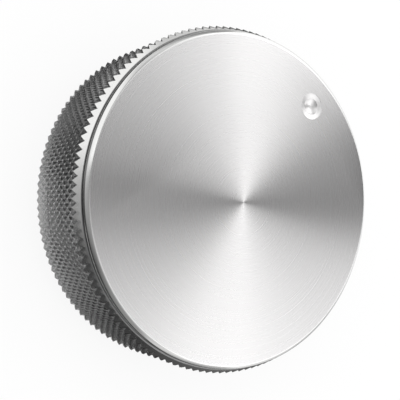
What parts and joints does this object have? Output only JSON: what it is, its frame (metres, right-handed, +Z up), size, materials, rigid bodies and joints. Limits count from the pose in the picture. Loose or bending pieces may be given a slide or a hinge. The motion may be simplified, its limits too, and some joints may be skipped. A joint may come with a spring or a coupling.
{
  "type": "usb volume control knob",
  "caption": "Round desk volume knob with a spun flat face, a small dimple and a diamond-knurled rim, which turns endlessly and clicks down on a low weighted base with a USB-C socket.",
  "frame": {"origin": "on the knob's axis, at the underside of the foot ring, where the part stands", "axes": "+Z up along the knob's axis, out of the spun face; +Y towards the back, out of the USB-C socket; +X to the right"},
  "size_m": [0.06, 0.06, 0.0274],
  "materials": {
    "spun_aluminium": "turned bright, face spun with fine rings, knurled grip",
    "hub_nylon": "moulded, glass filled",
    "zinc_plated_screws": "zinc plated",
    "turned_shaft": "turned, nickel plated",
    "spring_steel": "dark spring steel",
    "phenolic": "moulded phenolic",
    "acetal": "moulded, natural",
    "stainless_spring": "bright rolled",
    "green_moulding": "moulded",
    "zinc_die_cast": "die cast, tumbled",
    "folded_steel": "tin plated sheet",
    "phosphor_bronze": "rolled sheet",
    "nickel_plated_nut": "nickel plated",
    "board_laminate": "glass laminate under solder mask",
    "chip_epoxy": "moulded epoxy",
    "crystal_can": "nickel can",
    "chip_ceramic": "fired ceramic with tinned ends",
    "socket_shell": "drawn, nickel plated",
    "socket_insulator": "moulded",
    "base_abs": "moulded with fine spark texture",
    "black_steel_plate": "powder coated",
    "silicone": "moulded, matte"
  },
  "bodies": {
    "base": {"switch_dome": "stainless_spring", "encoder_body": "green_moulding", "encoder_bushing": "zinc_die_cast", "encoder_frame": "folded_steel", "click_spring": "phosphor_bronze", "wiper_contacts": "phosphor_bronze", "encoder_terminals": "folded_steel", "lock_washer": "spring_steel", "mounting_nut": "nickel_plated_nut", "circuit_board": "board_laminate", "controller_chip": "chip_epoxy", "crystal": "crystal_can", "chip_parts": "chip_ceramic", "usb_shell": "socket_shell", "usb_tongue": "socket_insulator", "board_screws": "zinc_plated_screws", "base_housing": "base_abs", "bottom_plate": "black_steel_plate", "base_screws": "zinc_plated_screws", "foot_ring": "silicone"},
    "rotor": {"code_disc": "phenolic"},
    "knob": {"knob_shell": "spun_aluminium", "knob_hub": "hub_nylon", "hub_screws": "zinc_plated_screws", "encoder_shaft": "turned_shaft", "retaining_clip": "spring_steel"},
    "plunger": {"switch_plunger": "acetal"}
  },
  "joints": [
    {"name": "knob_turn", "type": "hinge", "parent": "base", "child": "rotor", "pos_m": [0, 0, 0], "axis": [0, 0, 1], "continuous": true},
    {"name": "knob_press", "type": "slide", "parent": "rotor", "child": "knob", "axis": [0, 0, -1], "range_m": [0, 0.0005], "stiffness_N_per_m": 4000, "springref_m": -0.0005, "deforming": ["switch_dome"]},
    {"name": "plunger_press", "type": "slide", "parent": "base", "child": "plunger", "axis": [0, 0, -1], "range_m": [0, 0.0005], "deforming": ["switch_dome"]}
  ],
  "couplings": [
    {"joint": "plunger_press", "follows": "knob_press", "ratio": 1}
  ]
}
